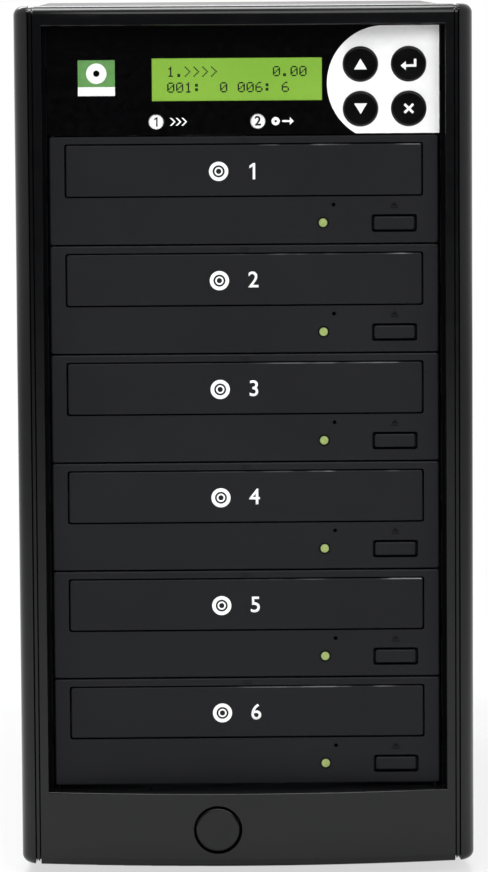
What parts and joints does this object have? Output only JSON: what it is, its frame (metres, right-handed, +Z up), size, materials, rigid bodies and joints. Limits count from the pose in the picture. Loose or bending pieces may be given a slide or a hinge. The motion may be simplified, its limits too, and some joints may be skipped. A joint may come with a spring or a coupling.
{
  "type": "dvd duplicator",
  "caption": "Upright disc duplicator tower: bowed front bezel with power button, control panel with display and keys above stacked optical drives with sliding trays, steel case behind.",
  "frame": {"origin": "on the floor under the middle of the tower's overall box", "axes": "+Z up, the front with the trays faces -Y, +X to the right as seen from the front"},
  "size_m": [0.1746, 0.368, 0.3348],
  "materials": {
    "bezel_black": "satin moulded",
    "drive_black": "fine texture",
    "tray_black": "fine texture",
    "overlay_black": "gloss print",
    "key_black": "gloss",
    "key_white": "gloss",
    "lcd_green": "backlit",
    "led_green": "translucent",
    "case_black": "fine texture paint",
    "zinc_steel": "zinc plated",
    "board_green": "solder mask",
    "inner_plastic": "moulded",
    "foot_rubber": "matt"
  },
  "bodies": {
    "case": {"front_bezel": "bezel_black", "power_switch": "inner_plastic", "panel_overlay": "overlay_black", "panel_fascia": "drive_black", "panel_board": "board_green", "lcd_module": "inner_plastic", "lcd_glass": "lcd_green", "base_chassis": "case_black", "top_cover": "case_black", "drive_cage": "zinc_steel", "feet": "foot_rubber", "controller_board": "board_green", "power_supply": "zinc_steel", "mains_inlet": "inner_plastic", "fan_frames": "inner_plastic", "screws": "zinc_steel", "drive_leds": "led_green", "loader_frames": "inner_plastic", "drive_1_face": "drive_black", "drive_1_housing": "zinc_steel", "drive_2_face": "drive_black", "drive_2_housing": "zinc_steel", "drive_3_face": "drive_black", "drive_3_housing": "zinc_steel", "drive_4_face": "drive_black", "drive_4_housing": "zinc_steel", "drive_5_face": "drive_black", "drive_5_housing": "zinc_steel", "drive_6_face": "drive_black", "drive_6_housing": "zinc_steel"},
    "tray_1": {"drive_1_tray": "tray_black", "drive_1_tray_door": "drive_black"},
    "tray_2": {"drive_2_tray": "tray_black", "drive_2_tray_door": "drive_black"},
    "tray_3": {"drive_3_tray": "tray_black", "drive_3_tray_door": "drive_black"},
    "tray_4": {"drive_4_tray": "tray_black", "drive_4_tray_door": "drive_black"},
    "tray_5": {"drive_5_tray": "tray_black", "drive_5_tray_door": "drive_black"},
    "tray_6": {"drive_6_tray": "tray_black", "drive_6_tray_door": "drive_black"},
    "eject_1": {"drive_1_eject_button": "drive_black"},
    "eject_2": {"drive_2_eject_button": "drive_black"},
    "eject_3": {"drive_3_eject_button": "drive_black"},
    "eject_4": {"drive_4_eject_button": "drive_black"},
    "eject_5": {"drive_5_eject_button": "drive_black"},
    "eject_6": {"drive_6_eject_button": "drive_black"},
    "key_up_cap": {"key_up": "key_black"},
    "key_enter_cap": {"key_enter": "key_black"},
    "key_down_cap": {"key_down": "key_black"},
    "key_back_cap": {"key_back": "key_black"},
    "function_key_1_cap": {"function_key_1": "key_white"},
    "function_key_2_cap": {"function_key_2": "key_white"},
    "power_cap": {"power_button": "bezel_black"},
    "rocker": {"rocker_switch": "inner_plastic"},
    "case_fan": {"case_fan_rotor": "inner_plastic"},
    "supply_fan": {"supply_fan_rotor": "inner_plastic"},
    "spindles": {"disc_spindles": "inner_plastic"},
    "pickups": {"optical_pickups": "inner_plastic"}
  },
  "joints": [
    {"name": "tray_1_slide", "type": "slide", "parent": "case", "child": "tray_1", "axis": [0, -1, 0], "range_m": [0, 0.128]},
    {"name": "tray_2_slide", "type": "slide", "parent": "case", "child": "tray_2", "axis": [0, -1, 0], "range_m": [0, 0.128]},
    {"name": "tray_3_slide", "type": "slide", "parent": "case", "child": "tray_3", "axis": [0, -1, 0], "range_m": [0, 0.128]},
    {"name": "tray_4_slide", "type": "slide", "parent": "case", "child": "tray_4", "axis": [0, -1, 0], "range_m": [0, 0.128]},
    {"name": "tray_5_slide", "type": "slide", "parent": "case", "child": "tray_5", "axis": [0, -1, 0], "range_m": [0, 0.128]},
    {"name": "tray_6_slide", "type": "slide", "parent": "case", "child": "tray_6", "axis": [0, -1, 0], "range_m": [0, 0.128]},
    {"name": "eject_1_press", "type": "slide", "parent": "case", "child": "eject_1", "axis": [0, 1, 0], "range_m": [0, 0.0015], "stiffness_N_per_m": 500},
    {"name": "eject_2_press", "type": "slide", "parent": "case", "child": "eject_2", "axis": [0, 1, 0], "range_m": [0, 0.0015], "stiffness_N_per_m": 500},
    {"name": "eject_3_press", "type": "slide", "parent": "case", "child": "eject_3", "axis": [0, 1, 0], "range_m": [0, 0.0015], "stiffness_N_per_m": 500},
    {"name": "eject_4_press", "type": "slide", "parent": "case", "child": "eject_4", "axis": [0, 1, 0], "range_m": [0, 0.0015], "stiffness_N_per_m": 500},
    {"name": "eject_5_press", "type": "slide", "parent": "case", "child": "eject_5", "axis": [0, 1, 0], "range_m": [0, 0.0015], "stiffness_N_per_m": 500},
    {"name": "eject_6_press", "type": "slide", "parent": "case", "child": "eject_6", "axis": [0, 1, 0], "range_m": [0, 0.0015], "stiffness_N_per_m": 500},
    {"name": "key_up_press", "type": "slide", "parent": "case", "child": "key_up_cap", "axis": [0, 1, 0], "range_m": [0, 0.0008], "stiffness_N_per_m": 700},
    {"name": "key_enter_press", "type": "slide", "parent": "case", "child": "key_enter_cap", "axis": [0, 1, 0], "range_m": [0, 0.0008], "stiffness_N_per_m": 700},
    {"name": "key_down_press", "type": "slide", "parent": "case", "child": "key_down_cap", "axis": [0, 1, 0], "range_m": [0, 0.0008], "stiffness_N_per_m": 700},
    {"name": "key_back_press", "type": "slide", "parent": "case", "child": "key_back_cap", "axis": [0, 1, 0], "range_m": [0, 0.0008], "stiffness_N_per_m": 700},
    {"name": "function_key_1_press", "type": "slide", "parent": "case", "child": "function_key_1_cap", "axis": [0, 1, 0], "range_m": [0, 0.0008], "stiffness_N_per_m": 700},
    {"name": "function_key_2_press", "type": "slide", "parent": "case", "child": "function_key_2_cap", "axis": [0, 1, 0], "range_m": [0, 0.0008], "stiffness_N_per_m": 700},
    {"name": "power_press", "type": "slide", "parent": "case", "child": "power_cap", "axis": [0, 1, 0], "range_m": [0, 0.0025], "stiffness_N_per_m": 400},
    {"name": "rocker_tilt", "type": "hinge", "parent": "case", "child": "rocker", "pos_m": [0.045, 0.17705, 0.2961], "axis": [-1, 0, 0], "range_deg": [0, 16]},
    {"name": "case_fan_spin", "type": "hinge", "parent": "case", "child": "case_fan", "pos_m": [0, 0.16755, 0.165], "axis": [0, 1, 0], "continuous": true},
    {"name": "supply_fan_spin", "type": "hinge", "parent": "case", "child": "supply_fan", "pos_m": [-0.0285, 0.16655, 0.2826], "axis": [0, 1, 0], "continuous": true},
    {"name": "spindles_spin", "type": "hinge", "parent": "case", "child": "spindles", "pos_m": [0, -0.10145, 0.0348], "axis": [0, 0, 1], "continuous": true},
    {"name": "pickups_travel", "type": "slide", "parent": "case", "child": "pickups", "axis": [0, 1, 0], "range_m": [0, 0.036]}
  ]
}
